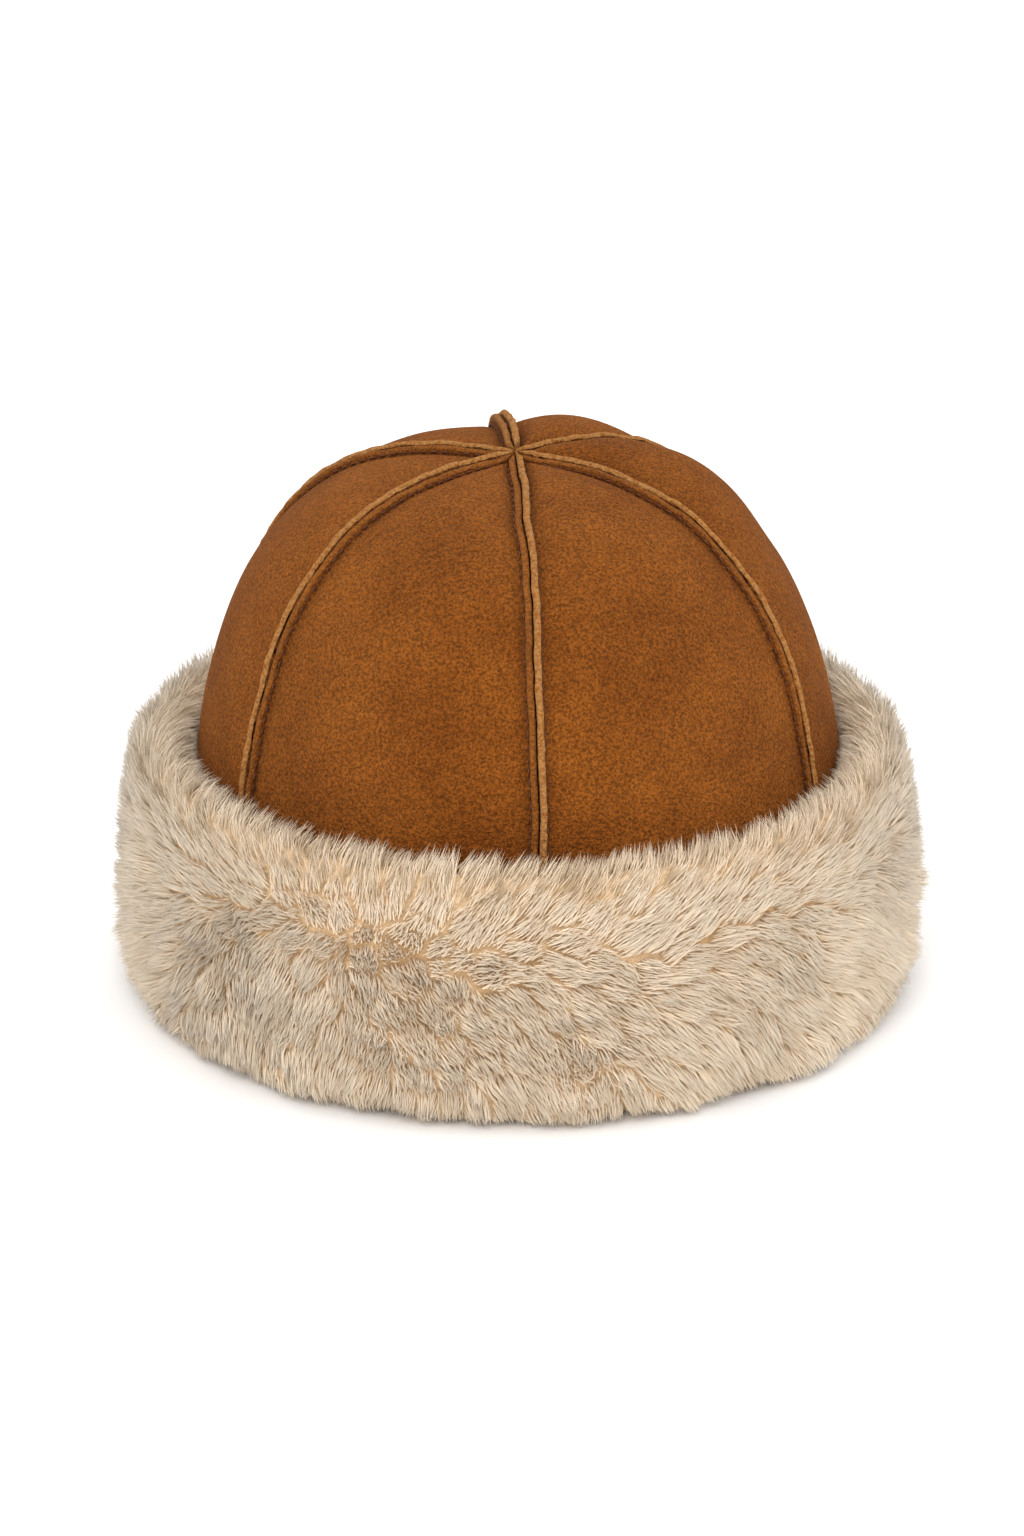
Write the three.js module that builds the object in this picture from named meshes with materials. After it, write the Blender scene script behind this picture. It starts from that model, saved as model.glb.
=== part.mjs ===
// A shearling hat: six suede gores sewn into a dome, with a deep fleece cuff turned up round it.
// Millimetres, +Z up. The hat rests on the plane z = 0 with its centre on the Z axis and its front at -Y.
// Each gore is one panel of shearling, skin outside and clipped wool inside. Its two long edges are
// turned outwards, so that each seam shows the cut edges of two panels standing side by side.
import * as THREE from "three";

// Crown
const crownRadius = 96.4; // side to side at the seams, to the suede
const crownHeight = 161.5; // to the point where the seams meet
const ovalRatio = 1.03; // front-to-back over side-to-side
const shoulderHeight = 42; // below this the crown's wall is upright
const sideRoundness = 2.96; // superellipse exponents of the dome
const topRoundness = 2.35;
const shearlingWall = 8; // skin and clipped wool together
const hemHeight = 8; // lower edge of the crown, over the fold of the cuff
const leanLeft = 1; // how far the seams' meeting point sits off the centre
const leanBack = 4.5;

// Seams
const seamGap = 0.3; // between the two panels of a seam
const lipThickness = 2; // the turned-out edge of a panel
const lipHeight = 2.8; // the ply that stands higher
const lowLipShare = 0.72; // height of the other ply
const tipRadius = 1.2; // where the six points meet

// Cuff
const cuffHeight = 82.5; // to the tips of the locks
const cuffDepth = 27.6; // from the crown to the tips of the locks
const cuffTopDrop = 29; // the top edge rounds over this height
const cuffTopWidth = 14; // and over this width
const cuffRimRound = 8; // the rounding down to the crown
const cuffRimSink = 15; // how deep the cuff meets the crown below its own top
const cuffFootRound = 6.5; // the rounding at the floor
const fitGap = 0.4; // between the cuff and the crown

// Locks of fleece
const lockStand = 6; // how far the tips stand out of the fleece
const lockWidth = 27;
const lockLength = 36;
const lockPitch = 24; // from one lock to the next, round the cuff

// Columns: azimuth from the front, which neighbour's ply stands higher, and how much higher both stand near the
// top, as a share of their height
const SEAMS = [
  { name: "front", azimuth: 0, highSide: "after", crest: 0 },
  { name: "right_front", azimuth: 61, highSide: "after", crest: 0 },
  { name: "right_back", azimuth: 124, highSide: "after", crest: 0 },
  { name: "back", azimuth: 182, highSide: "before", crest: 0.8 },
  { name: "left_back", azimuth: 244, highSide: "before", crest: 0 },
  { name: "left_front", azimuth: 300, highSide: "before", crest: 0 },
];

// A gore lies between the seam of its own row and the next one. fullLow and fullHigh say how far it swells
// between its seams, on the wall and on the top, as shares of crownRadius.
const GORES = [
  { name: "gore_front_right", fullLow: 0.013, fullHigh: 0.03 },
  { name: "gore_right", fullLow: 0.013, fullHigh: 0.06 },
  { name: "gore_back_right", fullLow: 0.013, fullHigh: 0.045 },
  { name: "gore_back_left", fullLow: 0.013, fullHigh: 0.01 },
  { name: "gore_left", fullLow: 0.013, fullHigh: 0.01 },
  { name: "gore_front_left", fullLow: 0.013, fullHigh: 0.025 },
];

// Rows of locks. along is where the middle of a lock lies, as a share of the way from the floor over the top
// of the cuff to the crown. lean is the way its tip points, in degrees: 0 hangs down and 180 stands up.
const LOCK_ROWS = [
  { along: 0.12, lean: 8 },
  { along: 0.26, lean: 25 },
  { along: 0.4, lean: 50 },
  { along: 0.53, lean: 105 },
  { along: 0.67, lean: 150 },
  { along: 0.82, lean: 178 },
];

// Facets
const CROWN_STATIONS = 13;
const OUTER_POINTS = 7;
const INNER_POINTS = 3;
const CUFF_COLUMNS = 18; // between two seams
const CUFF_ROWS = 25;

const suede = new THREE.MeshStandardMaterial({ color: 0x9a5e27, roughness: 0.95, metalness: 0 });
const fleece = new THREE.MeshStandardMaterial({ color: 0xdccbb0, roughness: 1, metalness: 0 });

// The crown's outline in a plane through the axis: x is the radius and y the height.
class CrownMeridian extends THREE.Curve {
  constructor() {
    super();
    this.arcLengthDivisions = 600;
    this.wallPart = 0.2;
  }

  getPoint(t, target = new THREE.Vector2()) {
    if (t < this.wallPart) {
      return target.set(crownRadius, THREE.MathUtils.lerp(hemHeight, shoulderHeight, t / this.wallPart));
    }
    const turn = (((t - this.wallPart) / (1 - this.wallPart)) * Math.PI) / 2;
    const out = Math.pow(Math.max(0, Math.cos(turn)), 2 / sideRoundness);
    const up = Math.pow(Math.sin(turn), 2 / topRoundness);
    return target.set(crownRadius * out, shoulderHeight + (crownHeight - shoulderHeight) * up);
  }
}
const meridian = new CrownMeridian();

// A place on the seam surface of the crown, with its outward direction, at a share of the way from hem to top.
function station(share) {
  const { x: radius, y: height } = meridian.getPointAt(share);
  const along = meridian.getTangentAt(share);
  return { radius, height, outX: along.y, outZ: -along.x };
}

// The last share of the way up at which a point of the meridian still passes a test.
function lastShareWhere(test) {
  let low = 0;
  let high = 1;
  for (let step = 0; step < 40; step++) {
    const middle = (low + high) / 2;
    if (test(meridian.getPointAt(middle))) low = middle;
    else high = middle;
  }
  return low;
}

// A point of the hat from its azimuth, radius and height. Above its shoulder the hat leans a little left and back.
function hatPoint(azimuth, { radius, height }) {
  const lean = Math.max(0, height - shoulderHeight) / (crownHeight - shoulderHeight);
  return new THREE.Vector3(
    radius * Math.sin(azimuth) - leanLeft * lean,
    (-radius * Math.cos(azimuth) + leanBack * lean) * ovalRatio,
    height,
  );
}

// The place at a distance outside a station.
function outsideOf(place, offset) {
  return { radius: place.radius + place.outX * offset, height: place.height + place.outZ * offset };
}

// How far a gore swells at a station, at a share of the way between its seams.
function swelling(gore, place, share) {
  const high = THREE.MathUtils.smoothstep(place.height, 0.8 * crownHeight, 0.98 * crownHeight);
  const fade = Math.pow(Math.min(1, place.radius / (0.25 * crownRadius)), 0.7);
  const fullness = THREE.MathUtils.lerp(gore.fullLow, gore.fullHigh, high) * crownRadius * fade;
  return fullness * Math.pow(Math.sin(Math.PI * share), 0.85);
}

// How far a seam's higher ply stands out at a station.
function seamHeight(seam, place) {
  const nearTop = THREE.MathUtils.smoothstep(place.height, 0.85 * crownHeight, 0.97 * crownHeight);
  return lipHeight * (1 + seam.crest * nearTop);
}

// A closed body through rings of points that all have the same number of points. cap is the triangulation of
// one ring, used at both ends. Without a cap the last ring is joined to the first.
function loft(rings, cap) {
  const size = rings[0].length;
  const positions = rings.flat().flatMap((point) => point.toArray());
  const index = [];
  const joints = cap ? rings.length - 1 : rings.length;
  for (let ring = 0; ring < joints; ring++) {
    const here = ring * size;
    const next = ((ring + 1) % rings.length) * size;
    for (let i = 0; i < size; i++) {
      const j = (i + 1) % size;
      index.push(here + i, here + j, next + j, here + i, next + j, next + i);
    }
  }
  const last = (rings.length - 1) * size;
  for (const [a, b, c] of cap ?? []) {
    index.push(c, b, a);
    index.push(last + a, last + b, last + c);
  }
  const geometry = new THREE.BufferGeometry();
  geometry.setAttribute("position", new THREE.Float32BufferAttribute(positions, 3));
  geometry.setIndex(index);
  return geometry;
}

const lastShare = lastShareWhere((point) => point.x > tipRadius);
const crownStations = Array.from({ length: CROWN_STATIONS }, (_, row) =>
  station((row / (CROWN_STATIONS - 1)) * lastShare),
);

// The azimuths between which a gore lies.
function goreSpan(index) {
  const start = SEAMS[index].azimuth;
  const end = SEAMS[(index + 1) % SEAMS.length].azimuth;
  return [start, end > start ? end : end + 360].map(THREE.MathUtils.degToRad);
}

// The section of a gore at a station, seen along the gore, from its first seam to its last and back.
function goreSection(index, place) {
  const gore = GORES[index];
  const [start, end] = goreSpan(index);
  const width = (end - start) * place.radius;
  const edge = Math.min(seamGap / 2, width * 0.2);
  const lip = Math.min(lipThickness, width * 0.2);
  const from = SEAMS[index];
  const to = SEAMS[(index + 1) % SEAMS.length];
  const firstLip = seamHeight(from, place) * (from.highSide === "after" ? 1 : lowLipShare);
  const lastLip = seamHeight(to, place) * (to.highSide === "before" ? 1 : lowLipShare);
  const section = [[edge, -shearlingWall]];
  for (let i = 1; i <= INNER_POINTS; i++) {
    const t = i / (INNER_POINTS + 1);
    section.push([THREE.MathUtils.lerp(edge, width - edge, t), swelling(gore, place, t) - shearlingWall]);
  }
  section.push([width - edge, -shearlingWall], [width - edge, lastLip]);
  section.push([width - edge - lip, lastLip], [width - edge - lip, 0]);
  for (let i = OUTER_POINTS; i >= 1; i--) {
    const t = i / (OUTER_POINTS + 1);
    section.push([THREE.MathUtils.lerp(edge + lip, width - edge - lip, t), swelling(gore, place, t)]);
  }
  section.push([edge + lip, 0], [edge + lip, firstLip], [edge, firstLip]);
  return section.reverse();
}

function goreGeometry(index) {
  const [start] = goreSpan(index);
  const sections = crownStations.map((place) => goreSection(index, place));
  const rings = sections.map((section, row) => {
    const place = crownStations[row];
    return section.map(([across, offset]) => hatPoint(start + across / place.radius, outsideOf(place, offset)));
  });
  const outline = sections[0].map(([across, offset]) => new THREE.Vector2(-across, offset));
  return loft(rings, THREE.ShapeUtils.triangulateShape(outline, []));
}

// The fleece under the locks, as an outline with x the radius and y the height: the outside, from the floor
// over the top to where the cuff meets the crown.
const fleeceRadius = crownRadius + cuffDepth - lockStand;
const fleeceTop = cuffHeight - lockStand;
const rimRadius = fleeceRadius - cuffTopWidth;
function cuffOutside() {
  const outside = new THREE.Path();
  outside.moveTo(fleeceRadius - cuffFootRound, 0);
  outside.absarc(fleeceRadius - cuffFootRound, cuffFootRound, cuffFootRound, -Math.PI / 2, 0);
  outside.absellipse(rimRadius, fleeceTop - cuffTopDrop, cuffTopWidth, cuffTopDrop, 0, Math.PI / 2);
  outside.absellipse(rimRadius, fleeceTop - cuffRimSink, cuffRimRound, cuffRimSink, Math.PI / 2, Math.PI);
  return outside;
}

// An even scatter between -1 and 1 that is the same on every run.
function scatter(number) {
  return 2 * ((number * 0.6180339887) % 1) - 1;
}

// Every lock as a place on the fleece, in millimetres round the cuff and along its outline.
const fleeceGirth = 2 * Math.PI * fleeceRadius;
function lockPlaces(length) {
  const count = Math.round(fleeceGirth / lockPitch);
  return LOCK_ROWS.flatMap((row, rowIndex) =>
    Array.from({ length: count }, (_, i) => {
      const seed = rowIndex * 131 + i;
      return {
        round: ((i + (rowIndex % 2) / 2 + 0.2 * scatter(seed)) / count) * fleeceGirth,
        along: (row.along + 0.02 * scatter(seed * 3)) * length,
        lean: THREE.MathUtils.degToRad(row.lean + 20 * scatter(seed * 7 + 2)),
        stand: lockStand * (0.84 + 0.16 * scatter(seed * 5 + 1)),
      };
    }),
  );
}

// How far the fleece stands out at a place: the highest of the locks that reach it. A lock rises from its root,
// is highest near its tip and ends steeply there.
function lockRelief(locks, round, along) {
  const half = fleeceGirth / 2;
  let relief = 0;
  for (const lock of locks) {
    const aside = THREE.MathUtils.euclideanModulo(round - lock.round + half, fleeceGirth) - half;
    const down = lock.along - along;
    const run = (down * Math.cos(lock.lean) + aside * Math.sin(lock.lean)) / lockLength + 0.5;
    if (run < 0 || run > 1) continue;
    const halfWidth = (lockWidth / 2) * Math.sqrt(1 - Math.pow(run, 3));
    const across = Math.abs(aside * Math.cos(lock.lean) - down * Math.sin(lock.lean)) / halfWidth;
    if (across >= 1) continue;
    relief = Math.max(relief, lock.stand * Math.pow(run, 0.75) * (1 - across * across));
  }
  return relief;
}

// The columns of the cuff. Each seam has two at the edges of the channel that its plies stand in and two where
// the channel's sides end. The others lie evenly between the seams.
function cuffColumns() {
  const channel = (seamGap / 2 + lipThickness + fitGap) / crownRadius;
  const besideChannel = channel + lipThickness / crownRadius;
  return GORES.flatMap((gore, index) => {
    const [start, end] = goreSpan(index);
    const columns = [{ azimuth: start + channel, gore: index, seam: index }];
    for (let i = 0; i < CUFF_COLUMNS; i++) {
      const t = i / (CUFF_COLUMNS - 1);
      columns.push({ azimuth: THREE.MathUtils.lerp(start + besideChannel, end - besideChannel, t), gore: index });
    }
    columns.push({ azimuth: end - channel, gore: index, seam: (index + 1) % SEAMS.length });
    return columns;
  });
}

// The cuff's side of the gap at a station of the crown.
function besideCrown(column, place) {
  const [start, end] = goreSpan(column.gore);
  const share = (column.azimuth - start) / (end - start);
  const inChannel = column.seam !== undefined;
  const offset = inChannel ? seamHeight(SEAMS[column.seam], place) : swelling(GORES[column.gore], place, share);
  return outsideOf(place, offset + fitGap);
}

function cuffGeometry() {
  const outside = cuffOutside();
  const length = outside.getLength();
  const locks = lockPlaces(length);
  const rimFoot = fleeceTop - cuffRimSink;
  const foldRadius = crownRadius - shearlingWall;
  const foldRound = hemHeight / 2;
  const wall = crownStations.filter((place) => place.height < rimFoot).reverse();
  const rings = cuffColumns().map((column) => {
    const ring = [];
    for (let row = 0; row <= CUFF_ROWS; row++) {
      const share = row / CUFF_ROWS;
      const place = outside.getPointAt(share);
      const tangent = outside.getTangentAt(share);
      const fade =
        THREE.MathUtils.smoothstep(share * length, 0, 2 * cuffFootRound) *
        THREE.MathUtils.smoothstep(length - share * length, 0, cuffRimSink);
      const relief = fade * lockRelief(locks, column.azimuth * fleeceRadius, share * length);
      const height = Math.max(0, place.y - tangent.x * relief);
      const crownShare = lastShareWhere((point) => point.y < height);
      const closest = besideCrown(column, station(crownShare)).radius;
      ring.push({ radius: Math.max(closest, place.x + tangent.y * relief), height });
    }
    wall.forEach((place) => ring.push(besideCrown(column, place)));
    ring[ring.length - 1].height = hemHeight - fitGap;
    ring.push({ radius: foldRadius + foldRound / 2, height: hemHeight - fitGap });
    ring.push({ radius: foldRadius, height: foldRound });
    ring.push({ radius: foldRadius + foldRound / 2, height: 0 });
    return ring.reverse().map((place) => hatPoint(column.azimuth, place));
  });
  return loft(rings);
}

const hat = new THREE.Group();

GORES.forEach((gore, index) => {
  const mesh = new THREE.Mesh(goreGeometry(index), suede.clone());
  mesh.name = gore.name;
  hat.add(mesh);
});

const cuff = new THREE.Mesh(cuffGeometry(), fleece.clone());
cuff.name = "fleece_cuff";
hat.add(cuff);

export default hat;
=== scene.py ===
"""Shearling hat: six suede gores with raised seams, and a deep turned-up cuff of fleece."""

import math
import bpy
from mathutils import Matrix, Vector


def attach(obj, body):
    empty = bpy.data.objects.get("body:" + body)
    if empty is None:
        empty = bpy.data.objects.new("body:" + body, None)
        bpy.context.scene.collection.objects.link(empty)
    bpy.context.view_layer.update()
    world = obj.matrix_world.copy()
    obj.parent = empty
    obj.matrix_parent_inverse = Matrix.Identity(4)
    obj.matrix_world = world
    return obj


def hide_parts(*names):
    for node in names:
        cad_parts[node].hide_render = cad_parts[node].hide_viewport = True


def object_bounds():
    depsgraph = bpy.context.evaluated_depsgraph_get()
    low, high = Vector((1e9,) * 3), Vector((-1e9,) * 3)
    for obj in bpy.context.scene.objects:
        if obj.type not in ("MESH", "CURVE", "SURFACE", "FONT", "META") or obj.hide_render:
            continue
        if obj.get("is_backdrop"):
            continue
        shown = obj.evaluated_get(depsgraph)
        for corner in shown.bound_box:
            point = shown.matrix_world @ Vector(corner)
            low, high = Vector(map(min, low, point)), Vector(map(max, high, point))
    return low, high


bl_info = {
    "name": "Shearling hat",
    "version": (1, 0, 0),
    "blender": (4, 5, 0),
    "location": "3D View > Sidebar > Hat",
    "description": "Dresses the frame of a six-gore shearling hat in suede, raised seams and deep fleece",
    "category": "Object",
}

from collections import namedtuple

import bpy
import numpy as np
from bpy.props import FloatProperty, FloatVectorProperty, IntProperty, PointerProperty
from mathutils import Color, Vector

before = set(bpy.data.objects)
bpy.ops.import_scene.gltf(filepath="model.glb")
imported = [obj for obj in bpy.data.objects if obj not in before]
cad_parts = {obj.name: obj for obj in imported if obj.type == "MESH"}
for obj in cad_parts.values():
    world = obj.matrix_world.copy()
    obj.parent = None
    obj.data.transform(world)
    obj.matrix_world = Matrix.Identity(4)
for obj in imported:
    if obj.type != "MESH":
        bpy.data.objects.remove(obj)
cad_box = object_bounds()

TURN = 2 * math.pi
MM = 0.001  # the shapes are worked out in millimetres and stored in metres
BAKE_UV = "OFBake"

# Azimuth in degrees from the front, the side whose ply stands higher, and how much higher both plies stand
# near the top, as a share of their height
Seam = namedtuple("Seam", "name azimuth high_side crest")
SEAMS = [
    Seam("front", 0, "after", 0.0),
    Seam("right_front", 61, "after", 0.0),
    Seam("right_back", 124, "after", 0.0),
    Seam("back", 182, "before", 0.8),
    Seam("left_back", 244, "before", 0.0),
    Seam("left_front", 300, "before", 0.0),
]

# A gore lies after the seam of its own row and before the next one. Near the top it swells between them by
# this share of the crown's radius
Gore = namedtuple("Gore", "name top_swell")
GORES = [
    Gore("gore_front_right", 0.03),
    Gore("gore_right", 0.06),
    Gore("gore_back_right", 0.045),
    Gore("gore_back_left", 0.01),
    Gore("gore_left", 0.01),
    Gore("gore_front_left", 0.025),
]

# Quarters of the pile, from the front round by the right, each a piece of its own
PILE_QUARTERS = ["pile_front_right", "pile_back_right", "pile_back_left", "pile_front_left"]

# Sides of a ply, in the order in which a section passes them. Columns: height as a share of the ply's, place
# as a share of its thickness, how pale the cut is, how dark the painted crease shade is, and what a pale cut
# takes off that shade
PLY_SEAM_SIDE = [(0.0, 0, 0.0, 1.0, 0), (0.35, 0, 0.0, 1.0, 0), (0.7, 0, 0.3, 0.7, 0)]
PLY_PANEL_SIDE = [(0.55, 1, 0.35, 0.3, 0.25), (0.3, 1, 0.0, 0.45, 0), (0.08, 1.02, 0.0, 1.0, 0)]

# Layers of soft noise. Columns: size of the features in millimetres, height and seed
PANEL_WAVES = [(34, 1.0, 5), (13, 0.4, 6)]
CLIPPED_WAVES = [(3.2, 0.7, 9)]
PLY_WAVES = [(9, 0.08, 40), (2.6, 0.09, 60)]
SEAM_WAVES = [(17, 1.0, 70), (5, 0.35, 90)]

# The same for the fleece, with sizes as shares of the tufts' or the swirls'
TUFT_WAVES = [(1.0, 1.0, 23), (0.45, 0.5, 24)]
LIE_ROUND_WAVES = [(1.0, 1.3, 31), (0.45, 0.6, 32)]
LIE_ALONG_WAVES = [(1.0, 1.1, 33), (0.45, 0.5, 34)]

# Seeds of the other scatters
CUT_EDGE_SEEDS = (11, 12, 13)
WISP_SEED = 21
RIM_SHADE_SEED = 37
LOCK_SEEDS = (51, 52, 53)
LOCK_TONE_SEED = 61
LOCK_STRAY_SEEDS = (62, 63)
STRAND_SEED = 7


def mm(name, description, default):
    """A length property, from its default in millimetres."""
    return FloatProperty(name=name, description=description, default=default * MM, min=0.0, unit="LENGTH")


def ratio(name, description, default, unit="NONE"):
    return FloatProperty(name=name, description=description, default=default, min=0.0, unit=unit)


def amount(name, description, default):
    return IntProperty(name=name, description=description, default=default, min=1)


def angle(name, description, degrees):
    return FloatProperty(name=name, description=description, default=math.radians(degrees), subtype="ANGLE")


def paint(name, description, *screen):
    """A colour property from the 0 to 255 values that a screen shows."""
    shares = [value / 255 for value in screen]
    colour = [v / 12.92 if v <= 0.04045 else ((v + 0.055) / 1.055) ** 2.4 for v in shares]
    kind = {"subtype": "COLOR", "min": 0.0, "max": 1.0}
    return FloatVectorProperty(name=name, description=description, default=colour, **kind)


class CrownSizes(bpy.types.PropertyGroup):
    radius: mm("Radius", "Of the suede at the seams, side to side", 96.4)
    height: mm("Height", "To the point where the seams meet", 161.5)
    oval_ratio: ratio("Oval ratio", "Front-to-back over side-to-side", 1.03)
    shoulder: mm("Shoulder", "Below this height the wall is upright", 42)
    side_roundness: ratio("Side roundness", "Superellipse exponent of the sides", 2.96)
    top_roundness: ratio("Top roundness", "Superellipse exponent of the top", 2.35)
    wall_swell: ratio("Wall swell", "Of a gore, as a share of the radius", 0.013)
    wall: mm("Wall", "Skin and clipped wool together", 8)
    hem: mm("Hem", "Height of the crown's lower edge", 8)
    lean_left: mm("Lean left", "Of the top, off the centre", 1.0)
    lean_back: mm("Lean back", "Of the top, behind the centre", 4.5)
    dents: mm("Dents", "Height of the panels' unevenness", 0.35)
    stations: amount("Stations", "Sections along a gore", 130)
    across: amount("Across", "Points across the outside of a gore", 32)
    lining: amount("Lining", "Points across the inside of a gore", 12)


class SeamSizes(bpy.types.PropertyGroup):
    gap: mm("Gap", "Between the two plies of a seam", 0.3)
    ply: mm("Ply", "Thickness of a turned-out edge", 2.0)
    height: mm("Height", "Of the ply that stands higher", 2.8)
    low_share: ratio("Low ply", "Height of the lower ply, as a share", 0.72)
    splay: mm("Splay", "How far the plies' edges part", 0.1)
    ragged: mm("Ragged", "Roughness of the cut edges", 0.17)
    waver: mm("Waver", "How far a seam strays to the side", 0.5)
    groove: mm("Groove", "Depth of the pull beside a seam", 0.55)
    groove_width: mm("Groove width", "Where the pull fades", 1.9)
    pucker: mm("Pucker", "Height of the waves between stitches", 0.22)
    stitch: mm("Stitch", "Length from one stitch to the next", 3.4)
    thread: mm("Thread", "Thickness of the sewing thread", 0.7)
    stitch_start: mm("Stitches start", "Up from the hem, behind the fleece", 52)
    stitch_stop: mm("Stitches stop", "Radius near the top", 9)


class CuffSizes(bpy.types.PropertyGroup):
    height: mm("Height", "To the tips of the pile", 82.5)
    depth: mm("Depth", "From the crown to the tips of the pile", 26.5)
    top_drop: mm("Top drop", "Height of the top edge's rounding outside", 29)
    rim_drop: mm("Rim drop", "Height of the top edge's rounding inside", 9)
    foot_round: mm("Foot round", "Rounding at the floor", 8)
    clearance: mm("Clearance", "Between the cuff and the crown", 0.4)
    skin: mm("Skin", "Of the cuff, beside the crown", 1.6)
    columns: amount("Columns", "Facets round the hat", 640)
    rows: amount("Rows", "Facets from the floor to the crown", 90)


class PileSizes(bpy.types.PropertyGroup):
    depth: mm("Depth", "From the dense wool to the tips", 7.3)
    length: mm("Length", "Of a strand on the outside of the cuff", 8.6)
    width: mm("Width", "Of a strand at its widest", 0.47)
    spacing: mm("Spacing", "From one strand to the next", 0.785)
    sink: mm("Sink", "Of the roots in the dense wool", 1.2)
    wisp: mm("Wisp", "Width of the wisps in the dense wool", 2.4)
    tuft: mm("Tuft", "Width of the tufts in the dense wool", 10)
    relief: mm("Relief", "Height of the wisps and tufts", 1.6)
    clump: mm("Clump", "From one lock to the next", 8.5)
    swirl: mm("Swirl", "Size of the swirls in its lie", 38)
    wave: mm("Wave", "How far the strands wave", 0.35)
    gather: ratio("Gather", "How far a lock's tips draw together", 0.4)
    lie: ratio("Lie", "How far the pile lies over", 0.4)
    parting: ratio("Parting", "How far it parts at the front", 0.36)
    comb_down: ratio("Comb down", "How far it lies down near the floor", 0.7)
    comb_up: ratio("Comb up", "How far it lies in over the top edge", 0.75)
    softness: ratio("Softness", "How far it is shaded as one soft body", 0.95)


class HatColours(bpy.types.PropertyGroup):
    suede: paint("Suede", "Nap of the suede", 155, 89, 30)
    suede_dark: paint("Suede, dark", "Darker patches of the nap", 118, 62, 17)
    cut_edge: paint("Cut edge", "Raw edge of the plies", 190, 138, 82)
    # The crevice colour is painted shade beside and between the plies, and in the thread's twist
    crevice_shade: paint("Crevice", "Beside and between the plies", 82, 42, 17)
    thread: paint("Thread", "Sewing thread", 98, 52, 24)
    wool_tip: paint("Wool, tips", "Outer end of the pile", 243, 224, 198)
    wool_middle: paint("Wool, middle", "Halfway down the pile", 239, 212, 179)
    wool_root: paint("Wool, roots", "Inner end of the pile", 218, 182, 138)


class StageSettings(bpy.types.PropertyGroup):
    azimuth: angle("Azimuth", "Of the camera, from the front", -3.5)
    elevation: angle("Elevation", "Of the camera", 22)
    distance: mm("Distance", "From the camera to its aim", 2000)
    aim_left: mm("Aim left", "Of the hat's axis, seen from the camera", 2.1)
    aim_up: mm("Aim up", "Height of the aim", 64.6)
    lens: ratio("Lens", "Focal length in millimetres", 155.6)
    sky: ratio("Sky", "Light from all round", 1.1)
    key: ratio("Key", "Power of the main light", 17.5, "POWER")
    fill: ratio("Fill", "Power of each side light", 5.0, "POWER")


GROUPS = {
    "hat_crown": CrownSizes,
    "hat_seam": SeamSizes,
    "hat_cuff": CuffSizes,
    "hat_pile": PileSizes,
    "hat_colours": HatColours,
    "hat_stage": StageSettings,
}


def in_mm(group, *names):
    """The named lengths of a group in millimetres, or one length alone."""
    lengths = [getattr(group, name) / MM for name in names]
    return lengths if len(lengths) > 1 else lengths[0]


def lerp(a, b, t):
    return a + (b - a) * t


def smoothstep(value, low, high):
    t = np.clip((value - low) / (high - low), 0.0, 1.0)
    return t * t * (3 - 2 * t)


def bell(distance, width, power=2):
    """One in the middle, fading to nothing beyond the width."""
    return np.exp(-((distance / width) ** power))


HASH_FACTORS = np.array([73856093, 19349663, 83492791, 1274126177], dtype=np.uint64)
LOW_BITS = np.uint64(0xFFFFFFFF)


def lattice_value(cells, seed):
    """An even scatter from 0 to 1 for whole-number cells, the same on every run."""
    mixed = np.full(cells.shape[:-1], seed * 374761393 + 1013904223, dtype=np.uint64)
    whole = cells.astype(np.int64).astype(np.uint64) & LOW_BITS
    for axis in range(cells.shape[-1]):
        mixed ^= whole[..., axis] * HASH_FACTORS[axis]
        mixed = (mixed ^ (mixed >> np.uint64(13))) * HASH_FACTORS[-1] & LOW_BITS
    mixed ^= mixed >> np.uint64(16)
    return (mixed & np.uint64(0xFFFF)).astype(float) / 0xFFFF


# Turns the cells of the noise away from the hat's own directions
NOISE_TURN = np.array([[0.36, 0.48, -0.8], [-0.8, 0.6, 0.0], [0.48, 0.64, 0.6]])


def smooth_noise(points, seed):
    """Soft noise from -1 to 1 at points of one to three coordinates, with features of about one unit."""
    points = np.asarray(points, float)
    dimensions = points.shape[-1]
    if dimensions == 3:
        points = points @ NOISE_TURN
    cell = np.floor(points)
    t = points - cell
    t = t * t * (3 - 2 * t)
    total = np.zeros(points.shape[:-1])
    for corner in range(2**dimensions):
        offset = np.array([(corner >> axis) & 1 for axis in range(dimensions)])
        weight = np.prod(np.where(offset == 1, t, 1 - t), axis=-1)
        total += weight * lattice_value(cell + offset, seed)
    return 2 * total - 1


def layered_noise(points, layers, size=1.0, shift=0):
    """The sum of a table's layers. A shift of the seeds gives another run of the same kind."""
    return sum(high * smooth_noise(points / (share * size), seed + shift) for share, high, seed in layers)


class Outline:
    """A curve in a plane through the hat's axis, by distance along it, in millimetres."""

    REACH = 1.0  # its direction is taken over this distance to both sides

    def __init__(self, radius, height):
        self.radius, self.height = radius, height
        self.along = np.concatenate([[0], np.cumsum(np.hypot(np.diff(radius), np.diff(height)))])
        self.length = self.along[-1]

    def place(self, along):
        along = np.clip(along, 0, self.length)
        return np.interp(along, self.along, self.radius), np.interp(along, self.along, self.height)

    def stations(self, along):
        """Radius, height and outward direction at distances along the curve."""
        radius, height = self.place(along)
        before, after = self.place(along - self.REACH), self.place(along + self.REACH)
        run_r, run_z = after[0] - before[0], after[1] - before[1]
        size = np.hypot(run_r, run_z)
        return radius, height, run_z / size, -run_r / size


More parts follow.
